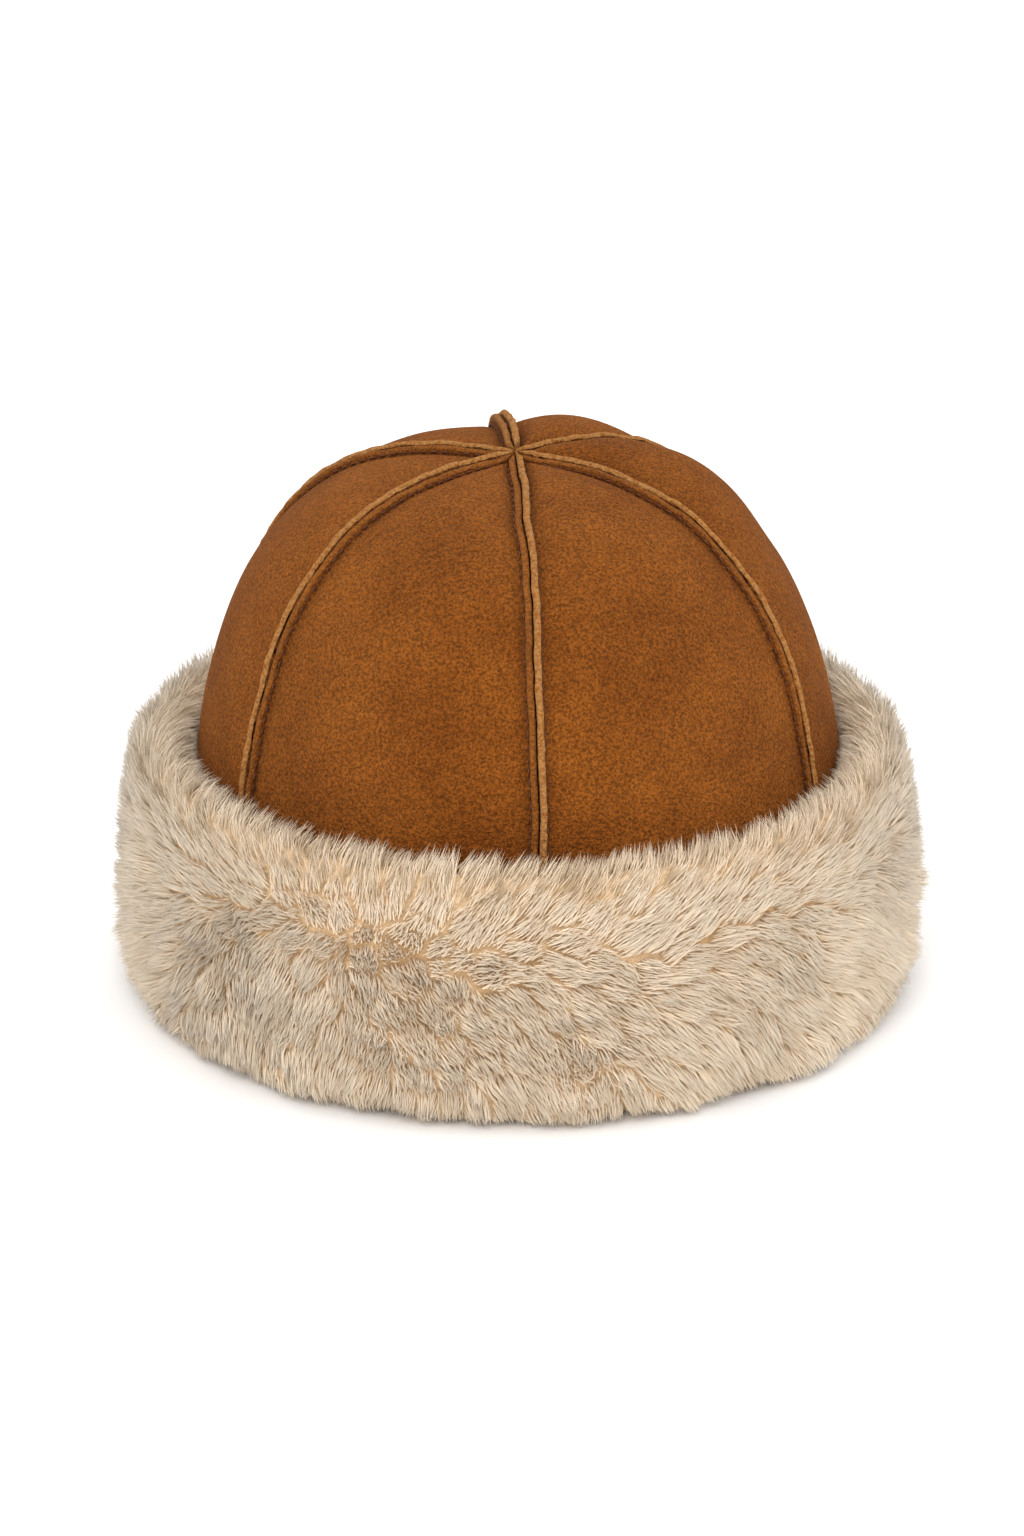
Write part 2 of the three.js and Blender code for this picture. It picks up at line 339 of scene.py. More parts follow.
class CrownOutline(Outline):
    """The crown's outline, from hem to top."""

    REACH = 0.4
    WALL_SAMPLES = 200
    DOME_SAMPLES = 3000

    def __init__(self, crown):
        radius, height, shoulder, hem = in_mm(crown, "radius", "height", "shoulder", "hem")
        wall = np.linspace(hem, shoulder, self.WALL_SAMPLES)[:-1]
        turn = np.linspace(0, TURN / 4, self.DOME_SAMPLES)
        out = np.maximum(np.cos(turn), 0) ** (2 / crown.side_roundness)
        up = np.sin(turn) ** (2 / crown.top_roundness)
        radii = np.concatenate([np.full(len(wall), radius), radius * out])
        super().__init__(radii, np.concatenate([wall, shoulder + (height - shoulder) * up]))

    def along_at_radius(self, radius):
        return float(np.interp(-radius, -self.radius, self.along))


class PileOutline(Outline):
    """The surface that the strands grow from, from the floor up the outside and over to the crown."""

    REACH = 3.0
    FLOOR = 1.2
    UNDER = 2.0  # how far from the cuff's inner side the curve starts, below the hat
    RIM_OUT = 1.75  # how far the top lies outside the middle of the cuff
    TIP_ROOM = 0.4  # what the tips keep below the cuff's height

    def __init__(self, scene):
        radius = in_mm(scene.hat_crown, "radius")
        height, depth, clearance, skin = in_mm(scene.hat_cuff, "height", "depth", "clearance", "skin")
        drop, rim_drop, foot = in_mm(scene.hat_cuff, "top_drop", "rim_drop", "foot_round")
        inset = in_mm(scene.hat_pile, "depth")
        self.outer = radius + depth - inset
        self.inner = radius + clearance + skin
        top = height - inset - self.TIP_ROOM
        rim = (self.outer + self.inner) / 2 + self.RIM_OUT
        start = np.array([[self.inner + self.UNDER, self.FLOOR]])
        foot_arc = arc((self.outer - foot, self.FLOOR + foot), (foot, foot), (-TURN / 4, 0), 12)
        outer_arc = arc((rim, top - drop), (self.outer - rim, drop), (0, TURN / 4), 16)
        inner_arc = arc((rim, top - rim_drop), (rim - self.inner, rim_drop), (TURN / 4, TURN / 2), 12)
        super().__init__(*np.concatenate([start, foot_arc, outer_arc, inner_arc[1:]]).T)

    def wrapped(self, angle, along):
        """Three coordinates for places of the fleece, in which the ring closes without a break."""
        return np.stack([self.outer * np.cos(angle), self.outer * np.sin(angle), along], axis=-1)


def arc(centre, radii, angles, count):
    """Points of a stretch of an ellipse."""
    turn = np.linspace(*angles, count)
    return np.stack([centre[0] + radii[0] * np.cos(turn), centre[1] + radii[1] * np.sin(turn)], axis=-1)


def hat_points(crown, azimuth, radius, height):
    """Points of the hat, in millimetres. Above its shoulder the hat leans a little left and back."""
    top, shoulder, left, back = in_mm(crown, "height", "shoulder", "lean_left", "lean_back")
    lean = np.maximum(0, height - shoulder) / (top - shoulder)
    x = radius * np.sin(azimuth) - left * lean
    y = (-radius * np.cos(azimuth) + back * lean) * crown.oval_ratio
    return np.stack(np.broadcast_arrays(x, y, height), axis=-1)


def wander(seams, number, along, radius):
    """How far a seam strays to the side. It runs straight near the top, where all six meet."""
    steady = smoothstep(radius, 4, 26)
    return in_mm(seams, "waver") * layered_noise(along[..., None], SEAM_WAVES, shift=number) * steady


def grid_faces(rows, columns, closed):
    """Quads of a grid of rows of points. A closed grid joins the last point of a row to its first."""
    first = np.arange(rows - 1)[:, None] * columns
    here = np.arange(columns if closed else columns - 1)[None, :]
    after = (here + 1) % columns
    quads = np.stack([first + here, first + after, first + columns + after, first + columns + here], axis=-1)
    return quads.reshape(-1, 4)


def capped_tube(rings):
    """Points and faces of a tube through rings of points, with a fan of triangles over each end."""
    rows, count = rings.shape[:2]
    points = np.concatenate([rings.reshape(-1, 3), rings[[0, -1]].mean(axis=1)])
    here = np.arange(count)
    after = (here + 1) % count
    lid = np.stack([np.full(count, rows * count), after, here], axis=-1)
    last = (rows - 1) * count
    tip = np.stack([last + here, last + after, np.full(count, rows * count + 1)], axis=-1)
    return points, [grid_faces(rows, count, closed=True), lid, tip]


def make_object(name, points, *face_groups, smooth=True):
    """A mesh object from points in millimetres and arrays of faces, one for triangles and one for quads."""
    mesh = bpy.data.meshes.new(name)
    faces = [face for group in face_groups for face in group.tolist()]
    mesh.from_pydata(points * MM, [], faces, shade_flat=not smooth)
    mesh.validate()
    made = bpy.data.objects.new(name, mesh)
    bpy.context.scene.collection.objects.link(made)
    return made


def store_tones(made, tones):
    """Keeps up to three values from 0 to 1 for each point, for the materials to read."""
    data = np.zeros((len(made.data.vertices), 4), np.float32)
    data[:, : tones.shape[1]] = tones
    data[:, 3] = 1
    layer = made.data.color_attributes.new("tones", "FLOAT_COLOR", "POINT")
    layer.data.foreach_set("color", data.ravel())


def dress(made, node=None):
    """Hands a finished piece to the frame: it rides on the hat, and stands for a node if one is named."""
    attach(made, "root")
    if node:
        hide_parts(node)


class Nodes:
    """Small helper that adds and links the nodes of a material."""

    def __init__(self, name):
        self.material = bpy.data.materials.new(name)
        self.material.use_nodes = True
        self.nodes, self.links = self.material.node_tree.nodes, self.material.node_tree.links

    def add(self, kind, outlet=0, **inputs):
        """Adds a node and returns one of its outputs."""
        return self.feed(self.nodes.new("ShaderNode" + kind), **inputs).outputs[outlet]

    def feed(self, node, **inputs):
        for key, value in inputs.items():
            self.connect(value, node.inputs[key.replace("_", " ")])
        return node

    def connect(self, value, socket):
        if isinstance(value, bpy.types.NodeSocket):
            self.links.new(value, socket)
        else:
            socket.default_value = (*value, 1.0) if isinstance(value, Color) else value

    def noise(self, scale, detail, roughness):
        place = self.add("TexCoord", "Object")
        return self.add("TexNoise", "Fac", Vector=place, Scale=scale, Detail=detail, Roughness=roughness)

    def between(self, value, low, high, to_low=0.0, to_high=1.0):
        """The value, stretched from one span to another and held within it."""
        return self.add("MapRange", Value=value, From_Min=low, From_Max=high, To_Min=to_low, To_Max=to_high)

    def mix(self, factor, first, second, blend="MIX"):
        node = self.nodes.new("ShaderNodeMix")
        node.data_type = "RGBA"
        node.blend_type = blend
        return self.feed(node, Factor=factor, A=first, B=second).outputs["Result"]

    def math(self, operation, *values):
        node = self.nodes.new("ShaderNodeMath")
        node.operation = operation
        for value, socket in zip(values, node.inputs):
            self.connect(value, socket)
        return node.outputs[0]

    def shaded(self, colour, value):
        """The colour times a value."""
        grey = self.add("CombineColor", Red=value, Green=value, Blue=value)
        return self.mix(1.0, colour, grey, "MULTIPLY")

    def tones(self):
        """The three values that store_tones keeps."""
        attribute = self.nodes.new("ShaderNodeAttribute")
        attribute.attribute_name = "tones"
        return list(self.add("SeparateColor", Color=attribute.outputs["Color"]).node.outputs)

    def bump(self, height, distance, strength):
        return self.add("Bump", Height=height, Distance=distance, Strength=strength)

    def finish(self, **inputs):
        self.feed(self.nodes["Principled BSDF"], **inputs)
        return self.material


def suede_material(colours):
    """Short-napped suede: cloudy, with a fine speckled nap, painted shade beside and between the seams'
    plies, and pale on cut edges.
    """
    nodes = Nodes("suede")
    cut, crease_shade, _ = nodes.tones()
    clouds = nodes.between(nodes.noise(28, 3, 0.6), 0.32, 0.68)
    patches = nodes.between(nodes.noise(150, 3, 0.6), 0.3, 0.7)
    nap = nodes.noise(1220, 3, 0.7)
    strokes = nodes.noise(700, 2, 0.6)
    tone = nodes.math("MULTIPLY_ADD", clouds, 0.55, nodes.math("MULTIPLY", patches, 0.24))
    colour = nodes.mix(tone, colours.suede_dark, colours.suede)
    colour = nodes.shaded(colour, nodes.between(nap, 0.4, 0.6, 0.62, 1.42))
    colour = nodes.shaded(colour, nodes.between(strokes, 0.3, 0.7, 0.93, 1.07))
    raw = nodes.between(nodes.noise(900, 2, 0.6), 0.35, 0.7)
    colour = nodes.mix(cut, colour, nodes.mix(raw, colours.cut_edge, colours.suede))
    # The crease value, broken up by noise, draws in the crevice colour as painted shade
    ragged = nodes.between(nodes.noise(1000, 3, 0.75), 0.4, 0.6, 0.1, 1.45)
    colour = nodes.mix(nodes.math("MULTIPLY", crease_shade, ragged), colour, colours.crevice_shade)
    bump = nodes.bump(nodes.math("MULTIPLY_ADD", nap, 0.6, strokes), 2.6 * MM, 1.0)
    nodes.finish(Sheen_Weight=0.07, Sheen_Roughness=0.4, Sheen_Tint=(1.0, 0.62, 0.3, 1.0))
    return nodes.finish(Base_Color=colour, Roughness=0.95, Normal=bump, Specular_IOR_Level=0.06)


def clipped_wool_material(colours):
    """The clipped wool inside the crown."""
    nodes = Nodes("clipped wool")
    curls = nodes.noise(420, 4, 0.65)
    colour = nodes.mix(nodes.between(curls, 0.35, 0.65), colours.wool_middle, colours.wool_tip)
    bump = nodes.bump(curls, 1.2 * MM, 0.8)
    nodes.finish(Sheen_Weight=0.3, Specular_IOR_Level=0.1)
    return nodes.finish(Base_Color=colour, Roughness=1.0, Normal=bump)


def thread_material(colours):
    """Twisted sewing thread."""
    nodes = Nodes("thread")
    twist = nodes.noise(2600, 1, 0.5)
    # The twist's grooves take the crevice colour: painted shade
    colour = nodes.mix(nodes.between(twist, 0.3, 0.7, 0, 0.5), colours.thread, colours.crevice_shade)
    bump = nodes.bump(twist, 0.2 * MM, 0.5)
    return nodes.finish(Base_Color=colour, Roughness=0.7, Normal=bump, Specular_IOR_Level=0.3)


def backing_material(colours):
    """The dense wool, seen between the strands."""
    nodes = Nodes("wool depth")
    fibres = nodes.noise(900, 3, 0.7)
    lit = nodes.mix(0.6, colours.wool_root, colours.wool_middle)
    colour = nodes.mix(nodes.between(fibres, 0.35, 0.65), colours.wool_root, lit)
    # Deeper places are darkened towards the roots' tan: painted shade
    hollow_shade = nodes.tones()[0]
    colour = nodes.mix(nodes.between(hollow_shade, 0.3, 1.0), colour, colours.wool_root)
    bump = nodes.bump(fibres, 0.8 * MM, 0.6)
    nodes.finish(Sheen_Weight=0.2, Specular_IOR_Level=0.1)
    return nodes.finish(Base_Color=colour, Roughness=1.0, Normal=bump)


def pile_material(colours):
    """Strands of wool: tan at the root and cream at the tip, each strand with a tone of its own, which also
    carries painted shade in the hollows and at the rim.
    """
    nodes = Nodes("wool pile")
    uv = nodes.nodes.new("ShaderNodeUVMap")
    uv.uv_map = BAKE_UV
    tone, along, _ = nodes.add("SeparateXYZ", Vector=uv.outputs["UV"]).node.outputs
    lower = nodes.mix(nodes.between(along, 0.05, 0.5), colours.wool_root, colours.wool_middle)
    colour = nodes.mix(nodes.between(along, 0.4, 0.85), lower, colours.wool_tip)
    # Low tones turn tan and darker: partly each strand's own tone, partly painted shade
    tan_tone_and_shade = nodes.mix(0.65, colour, colours.wool_root)
    colour = nodes.mix(nodes.between(tone, 0.1, 0.6, 1.0, 0.0), colour, tan_tone_and_shade)
    colour = nodes.shaded(colour, nodes.between(tone, 0.2, 1.0, 0.98, 1.06))
    colour = nodes.shaded(colour, nodes.between(tone, 0.0, 0.2, 0.62, 1.0))
    nodes.finish(Subsurface_Weight=0.18, Subsurface_Radius=(1.0, 1.0, 1.0), Subsurface_Scale=1.0 * MM)
    nodes.finish(Sheen_Weight=0.12, Sheen_Tint=(1.0, 0.88, 0.7, 1.0))
    return nodes.finish(Base_Color=colour, Roughness=0.95, Specular_IOR_Level=0.05)


def floor_material():
    return Nodes("floor").finish(Base_Color=(0.93, 0.93, 0.93, 1.0), Roughness=0.9, Specular_IOR_Level=0.1)


class GoreSections:
    """Sections through a gore from its hem to its tip, as columns of points that run round the section."""

    TIP_RADIUS = 0.35  # where the six gores meet
    GAP_SHARE = 0.1  # the gap and the plies narrow towards the tip, to these shares of the gore's width
    PLY_SHARE = 0.36
    LOW_PLY_PALE_IN_SHADE = 0.14  # how pale the lower ply's cut edge is drawn, darker than the higher one's as painted shade, and how much paler where it stands high
    LOW_PLY_PALE_AT_CREST = 0.65
    CUT, CREASE, INSIDE = 2, 3, 4  # places of these values in a column

    def __init__(self, scene, index):
        self.crown, self.seams, self.gore = scene.hat_crown, scene.hat_seam, GORES[index]
        self.seam = {"after": index, "before": (index + 1) % len(SEAMS)}
        self.start, end = (math.radians(SEAMS[number].azimuth) for number in self.seam.values())
        end += TURN if end < self.start else 0
        outline = CrownOutline(self.crown)
        self.along = np.linspace(0, outline.along_at_radius(self.TIP_RADIUS), self.crown.stations)
        self.radius, self.height, self.out_r, self.out_z = outline.stations(self.along)
        gap, self.ply = in_mm(self.seams, "gap", "ply")
        self.width = (end - self.start) * self.radius
        self.edge = np.minimum(gap / 2, self.GAP_SHARE * self.width)
        self.lip = np.minimum(self.ply, self.PLY_SHARE * self.width)
        self.stray = {side: wander(self.seams, n, self.along, self.radius) for side, n in self.seam.items()}

    def column(self, across, offset, cut=0.0, crease_shade=0.0, inside=0.0):
        """One point of each section: its place across the gore and out of it, and its tones."""
        return np.stack(np.broadcast_arrays(across, offset, cut, crease_shade, inside), axis=-1)

    def swelling(self, share):
        """How far the gore swells outside its seams, at a share of the way between them."""
        size, top = in_mm(self.crown, "radius", "height")
        upper = smoothstep(self.height, 0.8 * top, 0.98 * top)
        swell = lerp(self.crown.wall_swell, self.gore.top_swell, upper)
        fade = np.minimum(1, self.radius / (0.25 * size)) ** 0.7
        return swell * size * fade * np.sin(math.pi * np.clip(share, 0, 1)) ** 0.85

    def lining(self):
        """Across the clipped wool inside, from the first seam to the last."""
        for share in np.linspace(0, 1, self.crown.lining):
            across = lerp(self.edge, self.width - self.edge, share)
            yield self.column(across, self.swelling(share) - in_mm(self.crown, "wall"), inside=1.0)

    def ply_height(self, side):
        """How far a turned-out edge stands out. The edge is a little uneven."""
        top, tall = in_mm(self.crown, "height"), in_mm(self.seams, "height")
        seam = SEAMS[self.seam[side]]
        share = 1.0 if seam.high_side == side else self.seams.low_share
        crest = 1 + seam.crest * smoothstep(self.height, 0.85 * top, 0.97 * top)
        shift = 2 * self.seam[side] + (side == "after")
        return tall * share * crest * (1 + layered_noise(self.along[:, None], PLY_WAVES, shift=shift))

    def ply_rows(self, side, tall):
        """Offset, share of the ply's thickness, cut and painted crease shade, up the seam side, over the top
        and down.
        """
        seam = SEAMS[self.seam[side]]
        # A lower ply's cut edge is drawn less pale, and with more crease shade, than a higher one's: painted
        # shade, as it lies lower, in shadow
        pale = 1.0 if seam.high_side == side else self.LOW_PLY_PALE_IN_SHADE + self.LOW_PLY_PALE_AT_CREST * seam.crest
        rounding = np.minimum(0.42 * self.lip, 0.5 * tall)
        turns = [(math.sin(turn), math.cos(turn)) for turn in np.linspace(0, math.pi, 9)]
        over = [(tall - rounding * (1 - rise), (1 - side) / 2, pale, 0.0) for rise, side in turns]
        up, down = (
            [(share * tall, place, cut * pale, dark - less * pale) for share, place, cut, dark, less in rows]
            for rows in (PLY_SEAM_SIDE, PLY_PANEL_SIDE)
        )
        return [(-0.4 * in_mm(self.crown, "wall"), 0, 0, 1), *up, *over, *down]

    def ply_columns(self, side):
        """The turned-out edge beside one of the gore's seams."""
        tall = self.ply_height(side)
        for offset, share, cut, crease_shade in self.ply_rows(side, tall):
            bent = np.clip(offset / np.maximum(tall, 0.1), 0, 1) ** 2 * self.lip / self.ply
            inwards = self.edge + in_mm(self.seams, "splay") * bent + share * self.lip
            across = inwards if side == "after" else self.width - inwards
            yield self.column(across + self.stray[side], offset, cut, crease_shade)

    def outside(self):
        """Across the suede, from the last seam back to the first, with closer points beside the seams."""
        groove, fade, pucker, stitch = in_mm(self.seams, "groove", "groove_width", "pucker", "stitch")
        foot = self.edge + self.lip
        shares = -np.cos(math.pi * np.linspace(0.12, 0.88, self.crown.across))
        shares = (shares - shares[0]) / (shares[-1] - shares[0])
        free = self.width - 2 * foot
        wave = pucker * np.cos(TURN * self.along / stitch)
        for share in shares[::-1][1:-1]:
            distance = {"after": share * free, "before": (1 - share) * free}
            near = np.minimum(*distance.values())
            pulled = sum(self.stray[side] * np.exp(-distance[side] / 5) for side in distance)
            offset = self.swelling(share) - groove * bell(near, fade) + wave * np.exp(-near / 2.6)
            # Painted shade in the crease beside the seam: a dark line at the ply's foot and a broad fall-off
            # over the panel
            crease_shade = 0.9 * bell(near, 0.75) + 0.25 * bell(near, 2.4)
            yield self.column(foot + share * free + pulled, offset, crease_shade=crease_shade)

    def table(self):
        """All columns, (stations, columns, values), in the order in which the faces look outwards."""
        last, first = self.ply_columns("before"), list(self.ply_columns("after"))
        return np.stack([*self.lining(), *last, *self.outside(), *first[::-1]], axis=1)[:, ::-1]

    def points(self, table):
        """Points of the sections, with the soft unevenness of skin and wool and the rough cut edges."""
        across, offset, cut, crease_shade, inside = np.moveaxis(table, -1, 0)
        azimuth = self.start + across / self.radius[:, None]
        points, further = (self.placed(azimuth, out) for out in (offset, offset + 1))
        calm = (1 - crease_shade) * smoothstep(self.radius, 8, 30)[:, None]
        dents = in_mm(self.crown, "dents") * calm * layered_noise(points, PANEL_WAVES)
        lift = (1 - inside) * dents + inside * layered_noise(points, CLIPPED_WAVES)
        points = points + (further - points) * lift[..., None]
        ragged = in_mm(self.seams, "ragged") * smoothstep(cut, 0, 0.2)[..., None]
        rough = [smooth_noise(points / 0.9, seed) for seed in CUT_EDGE_SEEDS]
        return points + ragged * np.stack(rough, axis=-1)

    def placed(self, azimuth, offset):
        radius = self.radius[:, None] + self.out_r[:, None] * offset
        return hat_points(self.crown, azimuth, radius, self.height[:, None] + self.out_z[:, None] * offset)


def gore_piece(scene, index, materials):
    """One gore as a closed piece, with its two turned-out edges and its clipped wool inside."""
    sections = GoreSections(scene, index)
    table = sections.table()
    points, faces = capped_tube(sections.points(table))
    made = make_object(GORES[index].name + "_panel", points, *faces)
    tones = table[..., [sections.CUT, sections.CREASE]].reshape(-1, 2)
    store_tones(made, np.concatenate([tones, np.zeros((2, 2))]))
    for material in materials:
        made.data.materials.append(material)
    inside = np.concatenate([table[..., sections.INSIDE].ravel(), np.zeros(2)])
    wool = np.concatenate([inside[group].min(axis=1) > 0.5 for group in faces])
    made.data.polygons.foreach_set("material_index", wool.astype(np.int32))
    return made


class HAT_OT_gores(bpy.types.Operator):
    """Make the six suede gores with the raised plies of their seams"""

    bl_idname = "hat.gores"
    bl_label = "Suede gores"

    def execute(self, context):
        scene = context.scene
        materials = [suede_material(scene.hat_colours), clipped_wool_material(scene.hat_colours)]
        for index, gore in enumerate(GORES):
            made = gore_piece(scene, index, materials)
            dress(made, gore.name)
        return {"FINISHED"}


STITCH_RINGS = 4
STITCH_SIDES = 5
STITCH_HALF = 0.33  # half a stitch's length, as a share of the way to the next
STITCH_OUT = 0.3  # from the ply's side
STITCH_RISE = 0.75  # of a stitch's middle over the panel
STITCH_BEND = 0.25  # how far its ends dip


def stitch_run(scene, number, side):
    """The stitches on one side of a seam, as small capsules that lie along the foot of the ply."""
    crown, seams = scene.hat_crown, scene.hat_seam
    gap, ply, pitch, thread = in_mm(seams, "gap", "ply", "stitch", "thread")
    start, stop = in_mm(seams, "stitch_start", "stitch_stop")
    outline = CrownOutline(crown)
    middles = np.arange(start, outline.along_at_radius(stop), pitch)
    t = np.linspace(-1, 1, STITCH_RINGS)
    along = middles[:, None] + t * STITCH_HALF * pitch
    stray = wander(seams, number, along, outline.place(along)[0])[..., None]
    radius, height, out_r, out_z = (values[..., None] for values in outline.stations(along))
    thick = (thread / 2 * np.sqrt(np.maximum(0.04, 1 - t**2)))[:, None]
    turn = np.linspace(0, TURN, STITCH_SIDES, endpoint=False)
    beside = (gap / 2 + ply + STITCH_OUT) * (1 if side == "after" else -1)
    across = beside + stray + thick * np.cos(turn)
    offset = (STITCH_RISE - STITCH_BEND * t**2)[:, None] + thick * np.sin(turn)
    azimuth = math.radians(SEAMS[number].azimuth) + across / radius
    return hat_points(crown, azimuth, radius + out_r * offset, height + out_z * offset)


def capsule_faces(count, rings, sides):
    """Faces of many small tubes, each closed by a fan at both ends."""
    body = grid_faces(rings, sides, closed=True)
    near = np.stack([np.zeros(sides - 2, int), np.arange(2, sides), np.arange(1, sides - 1)], axis=-1)
    far = (rings - 1) * sides + near[:, ::-1]
    shift = (np.arange(count) * rings * sides)[:, None, None]
    return [(body + shift).reshape(-1, 4), (np.concatenate([near, far]) + shift).reshape(-1, 3)]


class HAT_OT_stitches(bpy.types.Operator):
    """Sew the stitches along both sides of each seam"""

    bl_idname = "hat.stitches"
    bl_label = "Stitches"

    def execute(self, context):
        scene = context.scene
        material = thread_material(scene.hat_colours)
        for number, seam in enumerate(SEAMS):
            points = np.concatenate([stitch_run(scene, number, side) for side in ("before", "after")])
            faces = capsule_faces(*points.shape[:3])
            made = make_object("stitches_" + seam.name, points.reshape(-1, 3), *faces)
            made.data.materials.append(material)
            dress(made)
        return {"FINISHED"}


def lie_of_pile(scene, outline, angle, along):
    """How far the pile leans round the hat and along the outline at some places, as shares of its length."""
    pile = scene.hat_pile
    place, swirl = outline.wrapped(angle, along), in_mm(pile, "swirl")
    share = along / outline.length
    down, inwards = 1 - smoothstep(share, 0.1, 0.45), smoothstep(share, 0.5, 0.74)
    lie = pile.lie * lerp(1.0, 0.45, smoothstep(share, 0.6, 0.75))
    lean_round = lie * layered_noise(place, LIE_ROUND_WAVES, swirl) + pile.parting * np.cos(angle)
    comb = pile.comb_up * inwards - pile.comb_down * down
    return lean_round, lie * layered_noise(place, LIE_ALONG_WAVES, swirl) + comb


def fleece_relief(scene, outline, angle, along):
    """Height of the dense wool's wisps and tufts at some places, and how deep each place lies, 0 to 1, which
    the materials darken as painted shade.
    """
    wisp, tuft, relief = in_mm(scene.hat_pile, "wisp", "tuft", "relief")
    angle, along = np.broadcast_arrays(angle, along)
    lean_round, lean_along = lie_of_pile(scene, outline, angle, along)
    size = np.hypot(lean_round, lean_along) + 0.15
    turn, rise = lean_round / size / outline.outer, lean_along / size
    wisps = np.zeros(angle.shape)
    steps = np.linspace(-1.5, 1.5, 7) * wisp
    for step in steps:
        place = outline.wrapped(angle + step * turn, along + step * rise)
        wisps += smooth_noise(place / wisp, WISP_SEED) / len(steps)
    tufts = layered_noise(outline.wrapped(angle, along), TUFT_WAVES, tuft)
    level = smoothstep(along, 2, 14) * lerp(1.0, 0.4, smoothstep(along / outline.length, 0.5, 0.75))
    height = (1.1 * wisps + 1.3 * tufts) * level
    return relief * height, np.clip(0.5 - 0.75 * height, 0, 1)


def backing_lining(crown, cuff, outline, rim_height):
    """Radius and height down the backing's hidden side, under the crown's hem and back along the floor."""
    radius, wall, hem = in_mm(crown, "radius", "wall", "hem")
    clearance, skin = in_mm(cuff, "clearance", "skin")
    fold = radius - wall
    beside_crown = [(outline.inner, lerp(rim_height, hem, share)) for share in (0.25, 0.5, 0.75, 1.0)]
    under_hem = [(fold + 3, hem - clearance), (fold + 0.6, hem - skin), (fold, hem / 2)]
    return np.array([*beside_crown, *under_hem, (fold + 0.9, 1.0), (fold + 3, 0.15)])


class HAT_OT_backing(bpy.types.Operator):
    """Make the ring of turned-up skin and dense wool that the pile stands on"""

    bl_idname = "hat.backing"
    bl_label = "Cuff backing"

    def execute(self, context):
        scene = context.scene
        crown, cuff = scene.hat_crown, scene.hat_cuff
        outline = PileOutline(scene)
        along = np.linspace(0, outline.length, cuff.rows)
        radius, height, out_r, out_z = outline.stations(along)
        azimuth = np.linspace(0, TURN, cuff.columns, endpoint=False)[:, None]
        lumps, hollow_shade = fleece_relief(scene, outline, azimuth, along)
        outside = hat_points(crown, azimuth, radius + out_r * lumps, np.maximum(0.2, height + out_z * lumps))
        lining = backing_lining(crown, cuff, outline, height[-1])
        inside = hat_points(crown, azimuth, lining[:, 0], lining[:, 1] * np.ones_like(azimuth))
        rings = np.concatenate([outside, inside], axis=1)[:, ::-1]
        tones = np.concatenate([hollow_shade, np.full(inside.shape[:2], 0.5)], axis=1)[:, ::-1]
        faces = grid_faces(cuff.columns + 1, rings.shape[1], closed=True) % tones.size
        made = make_object("cuff_backing", rings.reshape(-1, 3), faces)
        store_tones(made, tones.reshape(-1, 1))
        made.data.materials.append(backing_material(scene.hat_colours))
        dress(made, "fleece_cuff")
        return {"FINISHED"}


def crown_reach(scene, azimuth, height):
    """Radius that the crown and its seams reach at a height: the pile lies against it from outside."""
    crown = scene.hat_crown
    outline = CrownOutline(crown)
    radius = np.interp(height, outline.height, outline.radius)
    tall, ply = in_mm(scene.hat_seam, "height", "ply")
    reach = radius + crown.wall_swell * in_mm(crown, "radius") + 0.3
    for seam in SEAMS:
        turn = np.mod(azimuth - math.radians(seam.azimuth) + math.pi, TURN) - math.pi
        reach = np.maximum(reach, radius + 0.4 + tall * bell(turn * radius, 1.6 * ply, 4))
    return reach


def floor_limit(z):
    """Keeps strands above the floor: those that would reach it turn along it."""
    least, soft = 0.25, 3.0
    return np.where(z < soft, least + (soft - least) * np.exp((z - soft) / (soft - least)), z)


def strand_roots(outline, spacing, rng):
    """Roots of the strands, scattered evenly: azimuth and distance along the outline."""
    roots = []
    for along in np.arange(spacing / 2, outline.length, spacing):
        count = int(TURN * float(outline.place(along)[0]) / spacing)
        angle = (np.arange(count) + rng.uniform(-0.45, 0.45, count)) / count * TURN
        drift = along + rng.uniform(-0.45, 0.45, count) * spacing
        roots.append(np.stack([np.mod(angle, TURN), np.clip(drift, 0, outline.length)], axis=-1))
    return np.concatenate(roots).T


def locks_of(outline, angle, along, pitch):
    """Gathers roots into locks of uneven shape. For each root: the middle and the number of its lock."""
    place = outline.wrapped(angle, along) / pitch @ NOISE_TURN
    cell = np.floor(place).astype(int)
    best = np.full(len(angle), np.inf)
    key = np.zeros_like(cell)
    for offset in np.ndindex(3, 3, 3):
        here = cell + np.array(offset[::-1]) - 1
        middle = here + np.stack([lattice_value(here, seed) for seed in LOCK_SEEDS], axis=-1)
        distance = ((middle - place) ** 2).sum(axis=-1)
        closer = distance < best
        best = np.where(closer, distance, best)
        key = np.where(closer[:, None], here, key)
    lock = np.unique(key, axis=0, return_inverse=True)[1].ravel()
    middle_angle = np.arctan2(np.bincount(lock, np.sin(angle)), np.bincount(lock, np.cos(angle)))[lock]
    middle_along = (np.bincount(lock, along) / np.bincount(lock))[lock]
    nearest_turn = np.round((angle - middle_angle) / TURN) * TURN
    return middle_angle + nearest_turn, middle_along, lock


def lock_value(lock, seed):
    """An even scatter from 0 to 1 in which all the strands of a lock share a value."""
    return lattice_value(np.stack([lock, lock * 0], axis=-1), seed)


